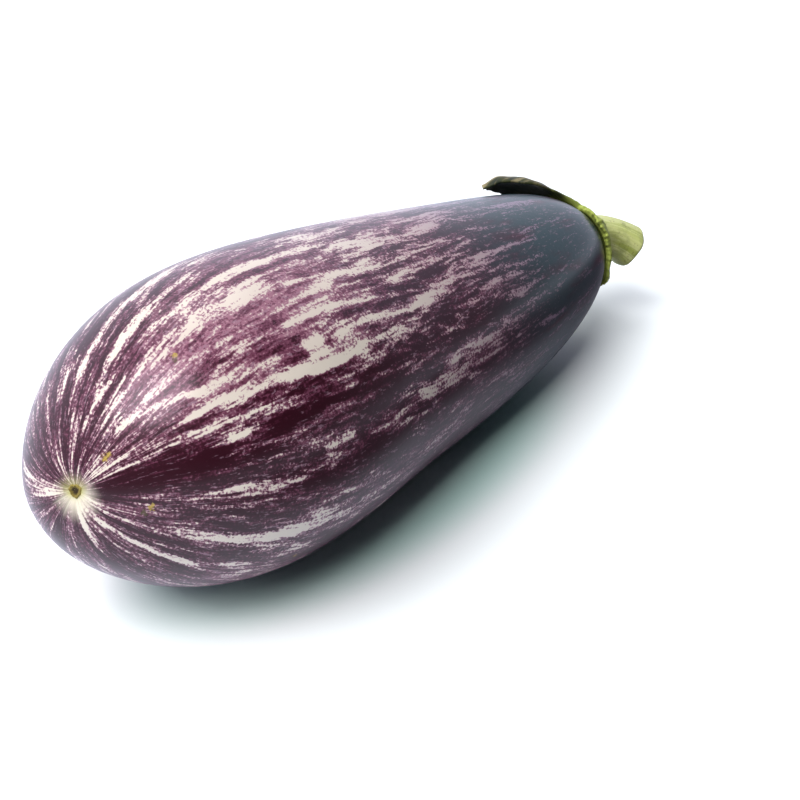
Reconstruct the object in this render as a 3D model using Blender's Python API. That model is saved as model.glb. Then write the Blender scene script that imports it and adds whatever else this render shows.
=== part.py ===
# A striped eggplant as picked, lying on its side: the fruit, the calyx with its five
# pointed lobes, and the cut stem. X runs along the fruit from the blossom end towards
# the stem end, Z is up, and the fruit rests on a small flat spot under its weight.
import math

import bmesh
import bpy
import numpy as np

# Fruit: a round body, whose radius at s from -1 (blossom end) to +1 (stem end) is
# GIRTH * sqrt((1 - s^2) * (1 + TAPER[0] s + TAPER[1] s^2 + ...)), about a centre line
# that leans by s (1 - s^2) times SWAY in Y and RISE in Z. The skin also swells by
# UNEVENNESS along two slow waves. Lengths in metres.
FRUIT_LENGTH = 0.2195
GIRTH = 0.0389
TAPER = (-0.677, 1.004, -0.22, -0.533, 0.763)
SWAY = 0.0058
RISE = -0.0062
UNEVENNESS = 0.0004
WAVE_ROUND = (6.0, 2.0)
WAVE_OVER = (5.0, -3.0, 1.0)
REST_PITCH = math.radians(-3.3)
FLAT_SPOT_DEPTH = 0.0010
SNAP_TO_FLAT = 0.00025
CUT_TOLERANCE = 1e-6
FRUIT_SIDES = 60
FRUIT_RINGS = 50
FINE_COUNT = 400

# Blossom scar: a small corky pit, set off the tip towards the front and upwards.
SCAR_TILT = math.radians(13.8)
SCAR_TURN = math.radians(139.5)
SCAR_RADIUS = 0.0019
PIT_RADIUS = 0.0042
PIT_DEPTH = 0.0011
BUTTON_HEIGHT = 0.0006
BUTTON_EDGE = (0.5, 1.3)
SCAR_RING_ANGLES = (1.4, 2.7, 4.2, 6.2, 9.0, 12.8)

# Calyx: a fleshy cup on the stem end with a collar for the stem and five lobes, each
# given by its turn about the axis (0 is +Y, 90 is up), its reach and how far its arched
# middle stands off the skin. A lobe rises over HUMP_RISE of its length and its tip
# comes back down over HUMP_FALL.
LOBES = (
    (58.0, 0.0450, 0.0042),
    (130.0, 0.0185, 0.0004),
    (202.0, 0.0180, 0.0004),
    (274.0, 0.0260, 0.0010),
    (346.0, 0.0370, 0.0026),
)
LOBE_POINTS = 16
LOBE_CROWDING = 1.5
LOBE_TAPER = 1.12
HUMP_RISE = (0.10, 0.58)
HUMP_FALL = (0.76, 1.0)
TIP_DROP = 0.55
EDGE_DROP = 0.5
LEAST_HALF_WIDTH = 1e-3
NOTCH_RADIUS = 0.0145
BLADE_THICKNESS = 0.0012
CUP_THICKNESS = 0.0022
CUP_THINS_FROM = 0.3
EDGE_THINNING = 0.4
EDGE_LIFT = 0.0005
WAVE_HEIGHT = 0.0006
WAVES = 13
CALYX_GAP = 0.0006
COLLAR_RADIUS = 0.0076
COLLAR_FOOT = 0.0130
COLLAR_HEIGHT = 0.0028
CUP_RINGS = (0.0040, 0.0076, 0.0092, 0.0110, 0.0130)
LOBE_RINGS = 9
CALYX_SPREAD = 1.4
SPREAD_COUNT = 1500

# Stem: a ridged stub that flares at both ends, droops a little and is cut across.
STEM_LENGTH = 0.0160
STEM_DROOP = 0.0072
STEM_SWAY = -0.0060
STEM_BASE_RADIUS = 0.0075
STEM_WAIST_RADIUS = 0.0064
STEM_CUT_RADIUS = 0.0074
FLARE_POWER = 4
CLUB_POWER = 2.5
STEM_RIDGES = 5
RIDGE_HEIGHT = 0.035
RIDGES_START = 0.4
STEM_SIDES = 30
STEM_RINGS = 10
STEM_GAP = 0.0003
CUT_BEVEL = 0.0008

ANGLE_STEP = 1e-4
OFF_POLE = 2e-4
SHARP_ANGLE = math.radians(50.0)
SKIN_COLOUR = (0.13, 0.03, 0.07)
CALYX_COLOUR = (0.07, 0.08, 0.03)
STEM_COLOUR = (0.36, 0.42, 0.14)
SKIN_ROUGHNESS = 0.28
CALYX_ROUGHNESS = 0.6
STEM_ROUGHNESS = 0.5


def smooth(low, high, value):
    """0 below low and 1 above high, with a smooth rise between."""
    t = np.clip((value - low) / (high - low), 0.0, 1.0)
    return t * t * (3.0 - 2.0 * t)


def swell(s):
    """Square root of the taper polynomial at s."""
    total = np.ones_like(s)
    for power, factor in enumerate(TAPER, start=1):
        total = total + factor * s**power
    return np.sqrt(total)


def pitched(points):
    """The points turned about Y, so that the stem end dips."""
    c, s = math.cos(REST_PITCH), math.sin(REST_PITCH)
    x, y, z = np.moveaxis(points, -1, 0)
    return np.stack([c * x - s * z, y, s * x + c * z], axis=-1)


def skin(polar, turn):
    """The fruit's plain skin. polar is the angle from the blossom scar (0) to the stem
    (pi), and turn is the angle about the axis. A sphere is tilted near the scar, which
    moves its pole off the tip, and then stretched into the turned body."""
    towards_tip = np.cos(polar)
    across = np.sin(polar) * np.cos(turn - SCAR_TURN)
    aside = np.sin(polar) * np.sin(turn - SCAR_TURN)
    tilt = SCAR_TILT * ((1.0 + np.cos(polar)) / 2.0) ** 2
    tip = towards_tip * np.cos(tilt) - across * np.sin(tilt)
    off = towards_tip * np.sin(tilt) + across * np.cos(tilt)
    y = off * math.cos(SCAR_TURN) - aside * math.sin(SCAR_TURN)
    z = off * math.sin(SCAR_TURN) + aside * math.cos(SCAR_TURN)
    s = -tip
    along, round_it = WAVE_ROUND
    up, back, start = WAVE_OVER
    waves = np.sin(along * s + round_it * y) + np.sin(up * z + back * s + start)
    reach = GIRTH * swell(s) + UNEVENNESS * waves
    lean = s * (1.0 - s * s)
    line = [FRUIT_LENGTH / 2.0 * s, reach * y + SWAY * lean, reach * z + RISE * lean]
    return pitched(np.stack(line, axis=-1))


def skin_normal(polar, turn):
    """Outward normal of the plain skin, from small steps in both angles."""
    along = skin(polar + ANGLE_STEP, turn) - skin(polar - ANGLE_STEP, turn)
    around = skin(polar, turn + ANGLE_STEP) - skin(polar, turn - ANGLE_STEP)
    normal = np.cross(around, along)
    return normal / np.linalg.norm(normal, axis=-1, keepdims=True)


def shape_from_rings(rings):
    """A closed surface through rings of equal count. A ring of one point closes an end.
    Quads are split the same way everywhere."""
    shape = bmesh.new()
    loops = [[shape.verts.new(point) for point in ring] for ring in rings]
    for first, second in zip(loops, loops[1:]):
        count = max(len(first), len(second))
        for i in range(count):
            j = (i + 1) % count
            if len(first) == 1:
                shape.faces.new((first[0], second[j], second[i]))
            elif len(second) == 1:
                shape.faces.new((first[i], first[j], second[0]))
            else:
                shape.faces.new((first[i], first[j], second[j]))
                shape.faces.new((first[i], second[j], second[i]))
    bmesh.ops.recalc_face_normals(shape, faces=shape.faces)
    if shape.calc_volume(signed=True) < 0.0:
        bmesh.ops.reverse_faces(shape, faces=shape.faces)
    return shape


def cut_flat(shape, height):
    """Everything below the height cut away, and the cut closed with a flat face."""
    for vertex in shape.verts:
        if abs(vertex.co.z - height) < SNAP_TO_FLAT:
            vertex.co.z = height
    everything = [*shape.verts, *shape.edges, *shape.faces]
    cut = bmesh.ops.bisect_plane(
        shape, geom=everything, dist=CUT_TOLERANCE, plane_co=(0.0, 0.0, height),
        plane_no=(0.0, 0.0, 1.0), clear_inner=True,
    )
    rim = [item for item in cut["geom_cut"] if isinstance(item, bmesh.types.BMEdge)]
    flat = bmesh.ops.edgenet_fill(shape, edges=rim)
    bmesh.ops.triangulate(shape, faces=flat["faces"])
    bmesh.ops.recalc_face_normals(shape, faces=shape.faces)


def finished_part(name, shape, colour, roughness):
    """The shape as a smooth-shaded object with its own material."""
    mesh = bpy.data.meshes.new(name)
    shape.to_mesh(mesh)
    shape.free()
    mesh.shade_smooth()
    mesh.set_sharp_from_angle(angle=SHARP_ANGLE)
    mesh.materials.append(principled(name, colour, roughness))
    part = bpy.data.objects.new(name, mesh)
    bpy.context.scene.collection.objects.link(part)
    return part


def principled(name, colour, roughness):
    material = bpy.data.materials.new(name)
    material.use_nodes = True
    shader = material.node_tree.nodes["Principled BSDF"]
    shader.inputs["Base Color"].default_value = (*colour, 1.0)
    shader.inputs["Roughness"].default_value = roughness
    shader.inputs["Metallic"].default_value = 0.0
    return material


def scar_relief(points):
    """The skin drawn into a small pit round the scar, with a low button in it."""
    centre = skin(np.float64(0.0), np.float64(0.0))
    outward = skin_normal(np.float64(OFF_POLE), np.float64(0.0))
    distance = np.linalg.norm(points - centre, axis=-1)
    pit = -PIT_DEPTH * np.exp(-((distance / PIT_RADIUS) ** 2))
    inner, outer = BUTTON_EDGE
    button = BUTTON_HEIGHT * (1.0 - smooth(inner * SCAR_RADIUS, outer * SCAR_RADIUS, distance))
    return points + (pit + button)[..., None] * outward


def flat_spot_height():
    """Height of the flat spot: a little above the plain skin's lowest point."""
    fine = np.linspace(0.0, math.pi, FINE_COUNT)
    polar, turn = np.meshgrid(fine, 2.0 * fine)
    return skin(polar, turn)[..., 2].min() + FLAT_SPOT_DEPTH


def make_fruit():
    near_scar = np.radians(SCAR_RING_ANGLES)
    step = (math.pi - near_scar[-1]) / (FRUIT_RINGS + 1)
    rest = near_scar[-1] + step * np.arange(1, FRUIT_RINGS + 1)
    polar = np.concatenate([near_scar, rest])
    turn = math.tau * np.arange(FRUIT_SIDES) / FRUIT_SIDES
    grid = scar_relief(skin(polar[:, None], turn[None, :]))
    tip = scar_relief(skin(np.array([0.0]), np.array([0.0])))
    stem_pole = skin(np.array([math.pi]), np.array([0.0]))
    shape = shape_from_rings([tip, *grid, stem_pole])
    cut_flat(shape, flat_spot_height())
    return finished_part("fruit", shape, SKIN_COLOUR, SKIN_ROUGHNESS)


def polar_at_reach(reach):
    """The polar angle whose distance along the skin from the stem pole is reach."""
    fine = np.linspace(0.0, CALYX_SPREAD, SPREAD_COUNT)
    line = skin(math.pi - fine, np.full_like(fine, math.pi / 2.0))
    walked = np.concatenate([[0.0], np.cumsum(np.linalg.norm(np.diff(line, axis=0), axis=1))])
    return math.pi - np.interp(reach, walked, fine)


def lobe_outline():
    """Turn, reach, hump height and how far off its lobe's middle (0 to 1) every point
    round the calyx's edge is. The points crowd towards each lobe's tip."""
    points = []
    half_width = math.pi / len(LOBES)
    for angle, lobe_reach, hump in LOBES:
        for i in range(LOBE_POINTS):
            across = 2.0 * i / LOBE_POINTS - 1.0
            off = abs(across) ** LOBE_CROWDING
            turn = math.radians(angle) + math.copysign(off, across) * half_width
            reach = NOTCH_RADIUS + (lobe_reach - NOTCH_RADIUS) * (1.0 - off) ** LOBE_TAPER
            points.append((turn, reach, hump, off, lobe_reach))
    return np.array(points).T


def calyx_axis():
    """The stem pole and the fruit's axis there."""
    return skin(np.float64(math.pi), np.float64(0.0)), pitched(np.array([1.0, 0.0, 0.0]))


def hump_height(reach, outline):
    """How far a lobe stands off the skin at a reach: most along its arched middle."""
    _, _, hump, off, lobe_reach = outline
    along = np.clip((reach - NOTCH_RADIUS) / (lobe_reach - NOTCH_RADIUS), 0.0, 1.0)
    lobe_half = np.maximum(1.0 - along ** (1.0 / LOBE_TAPER), LEAST_HALF_WIDTH)
    aside = np.clip(off / lobe_half, 0.0, 1.0)
    rise = smooth(*HUMP_RISE, along) * (1.0 - TIP_DROP * smooth(*HUMP_FALL, along))
    return hump * rise * (1.0 - EDGE_DROP * aside**2)


def calyx_heights(reach, to_edge, outline):
    """Height of the underside above the skin, and thickness, at the points of a ring."""
    wave = WAVE_HEIGHT * (1.0 + np.sin(WAVES * outline[0])) / 2.0
    under = CALYX_GAP + hump_height(reach, outline) + (EDGE_LIFT + wave) * to_edge**4
    fleshy = 1.0 - smooth(CUP_THINS_FROM, 1.0, to_edge)
    thick = BLADE_THICKNESS + (CUP_THICKNESS - BLADE_THICKNESS) * fleshy
    return under, thick * (1.0 - EDGE_THINNING * to_edge**6)


def collar_top():
    """Height of the collar's flat top along the axis, from the stem pole."""
    pole, axis = calyx_axis()
    polar = polar_at_reach(COLLAR_RADIUS)
    rim = skin(polar, np.float64(0.0)) + CUP_THICKNESS * skin_normal(polar, np.float64(0.0))
    return float((rim - pole) @ axis) + CALYX_GAP + COLLAR_HEIGHT


def calyx_ring(reach, to_edge, outline):
    """Underside and top points of the calyx on one ring."""
    turns = outline[0]
    polar = polar_at_reach(reach)
    under, thick = calyx_heights(reach, to_edge, outline)
    on_skin = skin(polar, turns)
    normal = skin_normal(polar, turns)
    lower = on_skin + under[:, None] * normal
    upper = lower + thick[:, None] * normal
    pole, axis = calyx_axis()
    collar = COLLAR_HEIGHT * (1.0 - smooth(COLLAR_RADIUS, COLLAR_FOOT, reach))
    upper = upper + collar[:, None] * axis
    inside = (reach <= COLLAR_RADIUS)[:, None]
    flat = collar_top() - (upper - pole) @ axis
    return lower, np.where(inside, upper + flat[:, None] * axis, upper)


def make_calyx():
    outline = lobe_outline()
    edge = outline[1]
    reaches = [np.full_like(edge, radius) for radius in CUP_RINGS]
    to_edges = [np.zeros_like(edge) for _ in CUP_RINGS]
    for i in range(1, LOBE_RINGS + 1):
        share = i / LOBE_RINGS
        reaches.append(CUP_RINGS[-1] + (edge - CUP_RINGS[-1]) * share)
        to_edges.append(np.full_like(edge, share))
    pairs = [calyx_ring(reach, to_edge, outline) for reach, to_edge in zip(reaches, to_edges)]
    pole, axis = calyx_axis()
    under_pole = (pole + CALYX_GAP * axis)[None, :]
    top_pole = (pole + collar_top() * axis)[None, :]
    lower = [pair[0] for pair in pairs]
    upper = [pair[1] for pair in reversed(pairs)]
    shape = shape_from_rings([under_pole, *lower, *upper, top_pole])
    return finished_part("calyx", shape, CALYX_COLOUR, CALYX_ROUGHNESS)


def stem_path(t):
    """Centre of the stem at t from 0 (collar) to 1 (cut), and its direction there."""
    pole, axis = calyx_axis()
    start = pole + (collar_top() + STEM_GAP) * axis
    bend = np.array([0.0, STEM_SWAY, -STEM_DROOP])
    centre = start + STEM_LENGTH * t * axis + t * t * bend
    direction = STEM_LENGTH * axis + 2.0 * t * bend
    return centre, direction / np.linalg.norm(direction)


def stem_ring(t, radius):
    centre, direction = stem_path(t)
    side = np.cross(np.array([0.0, 0.0, 1.0]), direction)
    side /= np.linalg.norm(side)
    up = np.cross(direction, side)
    around = math.tau * np.arange(STEM_SIDES) / STEM_SIDES
    ridge = RIDGE_HEIGHT * smooth(0.0, RIDGES_START, t) * np.cos(STEM_RIDGES * around)
    outward = np.cos(around)[:, None] * side + np.sin(around)[:, None] * up
    return centre + radius * (1.0 + ridge)[:, None] * outward


def stem_radius(t):
    flare = (STEM_BASE_RADIUS - STEM_WAIST_RADIUS) * (1.0 - t) ** FLARE_POWER
    club = (STEM_CUT_RADIUS - STEM_WAIST_RADIUS) * t**CLUB_POWER
    return STEM_WAIST_RADIUS + flare + club


def make_stem():
    last = 1.0 - CUT_BEVEL / STEM_LENGTH
    rings = [stem_path(0.0)[0][None, :]]
    for i in range(STEM_RINGS):
        t = last * i / (STEM_RINGS - 1)
        rings.append(stem_ring(t, stem_radius(t)))
    rings.append(stem_ring(1.0, STEM_CUT_RADIUS - CUT_BEVEL))
    rings.append(stem_path(1.0)[0][None, :])
    return finished_part("stem", shape_from_rings(rings), STEM_COLOUR, STEM_ROUGHNESS)


def place_on_origin(parts):
    """Every mesh moved so that the object's box stands centred on the origin."""
    corners = np.array([vertex.co[:] for part in parts for vertex in part.data.vertices])
    low, high = corners.min(axis=0), corners.max(axis=0)
    offset = ((low[0] + high[0]) / 2.0, (low[1] + high[1]) / 2.0, low[2])
    for part in parts:
        for vertex in part.data.vertices:
            vertex.co = [value - move for value, move in zip(vertex.co, offset)]


def main():
    for old in list(bpy.data.objects):
        bpy.data.objects.remove(old, do_unlink=True)
    place_on_origin([make_fruit(), make_calyx(), make_stem()])


main()
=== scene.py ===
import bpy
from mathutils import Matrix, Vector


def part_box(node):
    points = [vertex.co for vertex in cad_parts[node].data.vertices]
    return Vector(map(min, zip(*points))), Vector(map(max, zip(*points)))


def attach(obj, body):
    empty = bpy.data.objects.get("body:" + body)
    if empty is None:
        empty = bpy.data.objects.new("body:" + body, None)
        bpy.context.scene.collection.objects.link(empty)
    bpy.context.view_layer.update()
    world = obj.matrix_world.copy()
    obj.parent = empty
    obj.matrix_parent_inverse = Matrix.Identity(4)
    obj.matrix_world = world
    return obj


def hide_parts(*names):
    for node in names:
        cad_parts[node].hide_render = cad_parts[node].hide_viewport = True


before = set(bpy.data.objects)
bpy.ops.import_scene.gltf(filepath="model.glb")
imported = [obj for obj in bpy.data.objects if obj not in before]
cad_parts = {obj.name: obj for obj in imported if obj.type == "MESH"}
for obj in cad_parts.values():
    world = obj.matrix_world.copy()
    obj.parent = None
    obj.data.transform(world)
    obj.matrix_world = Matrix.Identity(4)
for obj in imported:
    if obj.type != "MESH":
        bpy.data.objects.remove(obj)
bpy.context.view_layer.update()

import math

import bpy
import numpy as np
from mathutils import Matrix

# A striped eggplant on its side: the skin, the corky blossom scar, the calyx and the stem.
# X runs from the blossom end to the stem end and Z is up, in metres, as in the frame.

mm = 0.001
origin = (0.0, 0.0, 0.0)
zAxis = np.array([0.0, 0.0, 1.0])
print("frame loaded:", ", ".join(sorted(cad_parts)))


# Small helpers for shapes

def smooth(low, high, value):
    # 0 below low, 1 above high, and 3 t^2 - 2 t^3 between
    t = np.clip((value - low) / (high - low), 0.0, 1.0)
    return t * t * (3.0 - 2.0 * t)


def bell(value, width):
    # e^-(value / width)^2
    return np.exp(-((value / width) ** 2))


def waveSum(turn, waves):
    # the sum of height * sin(count * turn + phase), for waves as (height, count, phase)
    return sum(height * np.sin(count * turn + phase) for height, count, phase in waves)


def ripple(first, second, seed, waves, firstScale=1.0, secondScale=1.0):
    # the mean of five sine waves over two coordinates, with drawn directions, phases and paces.
    # The dictionaries below name each ripple by its seed, its waves and the two scales.
    draw = np.random.default_rng(seed)
    count, slowest, fastest = 5, 0.6, 1.4
    first, second = first * firstScale, second * secondScale
    total = np.zeros(np.broadcast(first, second).shape)
    for _ in range(count):
        angle, phase = draw.uniform(0.0, math.tau, 2)
        pace = waves * draw.uniform(slowest, fastest)
        total = total + np.sin(pace * (math.cos(angle) * first + math.sin(angle) * second) + phase)
    return total / count


def turnFrom(line, turn):
    # how far round turn lies from line, from -pi to pi
    return (turn - line + math.pi) % math.tau - math.pi


def unit(vectors):
    return vectors / np.linalg.norm(vectors, axis=-1, keepdims=True)


def walkedAlong(line):
    # the distance walked along a line of points, from its first
    return np.concatenate([[0.0], np.cumsum(np.linalg.norm(np.diff(line, axis=0), axis=1))])


def addObject(name, data):
    thing = bpy.data.objects.new(name, data)
    scene.collection.objects.link(thing)
    return thing


def closedSurface(name, grid, firstPole, lastPole):
    # a grid of rings closed round each ring and drawn to a point at both ends, faces outward
    rings, sides, _ = grid.shape
    points = np.concatenate([firstPole[None, :], grid.reshape(-1, 3), lastPole[None, :]])
    here = np.arange(sides)
    after = (here + 1) % sides
    start = 1 + sides * np.arange(rings - 1)[:, None]
    quads = np.stack([start + here, start + after, start + sides + after, start + sides + here], axis=-1)
    quads = quads.reshape(-1, 4)
    tail = 1 + sides * (rings - 1)
    firstFan = np.stack([np.zeros_like(here), 1 + after, 1 + here], axis=-1)
    lastFan = np.stack([np.full_like(here, len(points) - 1), tail + here, tail + after], axis=-1)
    fans = np.concatenate([firstFan, lastFan])
    corners = points[quads]
    volume = sum(
        np.einsum("ij,ij->i", corners[:, 0], np.cross(corners[:, i], corners[:, i + 1])).sum()
        for i in (1, 2)
    )
    if volume < 0.0:
        quads, fans = quads[:, ::-1], fans[:, ::-1]
    mesh = bpy.data.meshes.new(name)
    mesh.from_pydata(points, [], quads.tolist() + fans.tolist())
    mesh.shade_smooth()
    return addObject(name, mesh)


def keepValues(piece, name, values):
    # an attribute on the points: one number each, or three
    kind = "FLOAT" if values.ndim == 1 else "FLOAT_VECTOR"
    attribute = piece.data.attributes.new(name, kind, "POINT")
    attribute.data.foreach_set("value" if values.ndim == 1 else "vector", values.astype(np.float32).ravel())


def withPoles(grid, first, last):
    # the values of a grid of rings in the order of its points, with those of the two poles
    width = grid.shape[2:]
    parts = [np.reshape(first, (1, *width)), grid.reshape(-1, *width), np.reshape(last, (1, *width))]
    return np.concatenate(parts)


scene = bpy.context.scene


# Small helpers for materials

def wire(tree, socket, value):
    # a socket takes another socket's output or a constant
    if isinstance(value, bpy.types.NodeSocket):
        tree.links.new(value, socket)
    elif socket.type == "RGBA" and len(value) == 3:
        socket.default_value = (*value, 1.0)
    else:
        socket.default_value = value


def calc(tree, operation, first, second=0.0, third=0.0):
    node = tree.nodes.new("ShaderNodeMath")
    node.operation = operation
    for socket, value in zip(node.inputs, (first, second, third)):
        wire(tree, socket, value)
    return node.outputs[0]


def vectorCalc(tree, operation, first, second, output=0):
    node = tree.nodes.new("ShaderNodeVectorMath")
    node.operation = operation
    wire(tree, node.inputs[0], first)
    wire(tree, node.inputs[1], second)
    return node.outputs[output]


def fade(tree, value, low, high, fromShare=0.0, toShare=1.0):
    # smooth step from fromShare at low to toShare at high. The dictionaries below name each fade
    # by these two or four numbers.
    node = tree.nodes.new("ShaderNodeMapRange")
    node.interpolation_type = "SMOOTHSTEP"
    for socket, given in zip(node.inputs, (value, low, high, fromShare, toShare)):
        wire(tree, socket, given)
    return node.outputs[0]


def mixed(tree, share, first, second):
    # first where share is 0, second where it is 1
    node = tree.nodes.new("ShaderNodeMix")
    node.data_type = "RGBA"
    wire(tree, node.inputs[0], share)
    wire(tree, node.inputs[6], first)
    wire(tree, node.inputs[7], second)
    return node.outputs[2]


def partsOf(tree, vector):
    # the three numbers of a vector
    node = tree.nodes.new("ShaderNodeSeparateXYZ")
    wire(tree, node.inputs[0], vector)
    return node.outputs


def readAttribute(tree, name, output):
    node = tree.nodes.new("ShaderNodeAttribute")
    node.attribute_name = name
    return node.outputs[output]


def objectPlace(tree):
    return tree.nodes.new("ShaderNodeTexCoord").outputs["Object"]


def newGroup(name, inputs, outputs):
    # a shader node group with named sockets: inputs are (name, kind, value), outputs (name, kind)
    group = bpy.data.node_groups.new(name, "ShaderNodeTree")
    for socketName, kind, value in inputs:
        socket = group.interface.new_socket(name=socketName, in_out="INPUT", socket_type=kind)
        if value is not None:
            socket.default_value = value
    for socketName, kind in outputs:
        group.interface.new_socket(name=socketName, in_out="OUTPUT", socket_type=kind)
    return group, group.nodes.new("NodeGroupInput").outputs, group.nodes.new("NodeGroupOutput").inputs


def useGroup(tree, group, output, **values):
    node = tree.nodes.new("ShaderNodeGroup")
    node.node_tree = group
    for name, value in values.items():
        wire(tree, node.inputs[name], value)
    return node.outputs[output]


def newMaterial(name, specular, coat=0.0, coatRoughness=0.1):
    material = bpy.data.materials.new(name)
    material.use_nodes = True
    shader = material.node_tree.nodes["Principled BSDF"]
    shader.inputs["Specular IOR Level"].default_value = specular
    shader.inputs["Coat Weight"].default_value = coat
    shader.inputs["Coat Roughness"].default_value = coatRoughness
    return material, material.node_tree, shader


def finishMaterial(tree, shader, colour, roughness):
    wire(tree, shader.inputs["Base Color"], colour)
    wire(tree, shader.inputs["Roughness"], roughness)


def bump(tree, shader, height, distance):
    node = tree.nodes.new("ShaderNodeBump")
    node.inputs["Strength"].default_value = 1.0
    node.inputs["Distance"].default_value = distance
    wire(tree, node.inputs["Height"], height)
    tree.links.new(node.outputs[0], shader.inputs["Normal"])


# Grain: noise whose cells are Size metres across and Stretch times as long along the third axis
grainGroup, grainIn, grainOut = newGroup(
    "grain",
    [("Place", "NodeSocketVector", None), ("Size", "NodeSocketFloat", 0.002),
     ("Stretch", "NodeSocketFloat", 1.0), ("Detail", "NodeSocketFloat", 3.0),
     ("Roughness", "NodeSocketFloat", 0.5)],
    [("Value", "NodeSocketFloat")],
)
longer = grainGroup.nodes.new("ShaderNodeCombineXYZ")
longer.inputs[0].default_value = 1.0
longer.inputs[1].default_value = 1.0
wire(grainGroup, longer.inputs[2], calc(grainGroup, "DIVIDE", 1.0, grainIn["Stretch"]))
grainNoise = grainGroup.nodes.new("ShaderNodeTexNoise")
grainPlace = vectorCalc(grainGroup, "MULTIPLY", grainIn["Place"], longer.outputs[0])
wire(grainGroup, grainNoise.inputs["Vector"], grainPlace)
wire(grainGroup, grainNoise.inputs["Scale"], calc(grainGroup, "DIVIDE", 1.0, grainIn["Size"]))
wire(grainGroup, grainNoise.inputs["Detail"], grainIn["Detail"])
wire(grainGroup, grainNoise.inputs["Roughness"], grainIn["Roughness"])
wire(grainGroup, grainOut["Value"], grainNoise.outputs[0])


def grain(tree, place, size, stretch, detail, roughness):
    # the dictionaries below name each grain by these four numbers, the size in metres
    return useGroup(tree, grainGroup, "Value", Place=place, Size=size, Stretch=stretch,
                    Detail=detail, Roughness=roughness)


# Wander: a place moved a little by slow noise, so that what follows it isn't ruler straight
wanderGroup, wanderIn, wanderOut = newGroup(
    "wander",
    [("Place", "NodeSocketVector", None), ("Size", "NodeSocketFloat", 0.02),
     ("Reach", "NodeSocketFloat", 0.002)],
    [("Place", "NodeSocketVector")],
)
wanderNoise = wanderGroup.nodes.new("ShaderNodeTexNoise")
wire(wanderGroup, wanderNoise.inputs["Vector"], wanderIn["Place"])
wire(wanderGroup, wanderNoise.inputs["Scale"], calc(wanderGroup, "DIVIDE", 1.0, wanderIn["Size"]))
noiseMiddle = 0.5
wanderShift = vectorCalc(wanderGroup, "SUBTRACT", wanderNoise.outputs["Color"], (noiseMiddle,) * 3)
wanderReach = vectorCalc(wanderGroup, "SCALE", wanderShift, origin)
wire(wanderGroup, wanderReach.node.inputs["Scale"], wanderIn["Reach"])
wire(wanderGroup, wanderOut["Place"], vectorCalc(wanderGroup, "ADD", wanderIn["Place"], wanderReach))

# Fleck: a small ragged spot at a point, 1 inside and 0 outside
fleck = {
    "grain": (0.0008, 1.0, 3.0, 0.7),
    "raggedness": 3.0,
    "fades": (1.7, 2.5),         # in radii, with the raggedness added
}
fleckGroup, fleckIn, fleckOut = newGroup(
    "fleck",
    [("Place", "NodeSocketVector", None), ("Centre", "NodeSocketVector", None),
     ("Radius", "NodeSocketFloat", 0.001)],
    [("Mask", "NodeSocketFloat")],
)
fleckAway = vectorCalc(fleckGroup, "DISTANCE", fleckIn["Place"], fleckIn["Centre"], 1)
fleckGrain = grain(fleckGroup, fleckIn["Place"], *fleck["grain"])
fleckNoise = calc(fleckGroup, "MULTIPLY", fleckGrain, fleck["raggedness"])
fleckRagged = calc(fleckGroup, "MULTIPLY_ADD", fleckNoise, fleckIn["Radius"], fleckAway)
fleckEdges = [calc(fleckGroup, "MULTIPLY", fleckIn["Radius"], radii) for radii in fleck["fades"]]
wire(fleckGroup, fleckOut["Mask"], fade(fleckGroup, fleckRagged, *fleckEdges, 1.0, 0.0))


# The fruit's form, which the scar, the calyx and the stem also stand on

fruit = {
    "length": 0.2195,            # tip to stem end
    "girth": 0.0389,             # radius at mid length before the taper
    "taper": (-0.677, 1.004, -0.22, -0.533, 0.763),   # factors of s, s^2 and so on
    "sway": 0.0058,              # lean of the centre line in Y
    "rise": -0.0062,             # and in Z
    "unevenness": 0.0004,
    "unevenWaves": ((6.0, 2.0, 0.0, 0.0), (-3.0, 0.0, 5.0, 1.0)),   # paces along s, y and z, and phase
    "restPitch": math.radians(-3.3),
    "scarTilt": math.radians(13.8),
    "scarTurn": math.radians(139.5),
    "flatSpotDepth": 0.0010,
    "pitRadius": 0.0042,
    "pitDepth": 0.0011,
    "rings": 280,
    "ringPacing": 1.08,          # above 1 the rings lie closer together at the scar
    "sides": 320,
    "wrinkles": 23,              # fine radial folds round the scar
    "wrinkleDepth": 0.00011,
    "wrinkleSway": ((0.2, 3.0, 1.0),),
    "wrinklesFrom": (0.001, 0.003),
    "wrinkleReach": 0.0065,      # the folds fade with their distance from the scar
    "waviness": 0.00013,         # low bumps that bend the reflections
    "waves": (11, 300.0, 0.35, 0.04),
    "wavesFrom": (0.004, 0.03),
    "patternRadius": 0.043,      # the streaks' noise is laid on a plain tube of this radius
    "streakStart": (-0.1, 0.12),    # shares of a streak's length, here and at its end
    "streakEnd": (0.88, 1.1),
    # where the pigment is thin: turn in degrees, half width in radians, strength, start and end
    "blushes": ((112.0, 0.48, 1.0, (0.014, 0.04), (0.07, 0.125)),
                (330.0, 0.7, 0.7, (0.02, 0.06), (0.1, 0.17))),
}


def pitched(points):
    c, s = math.cos(fruit["restPitch"]), math.sin(fruit["restPitch"])
    x, y, z = np.moveaxis(points, -1, 0)
    return np.stack([c * x - s * z, y, s * x + c * z], axis=-1)


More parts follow.
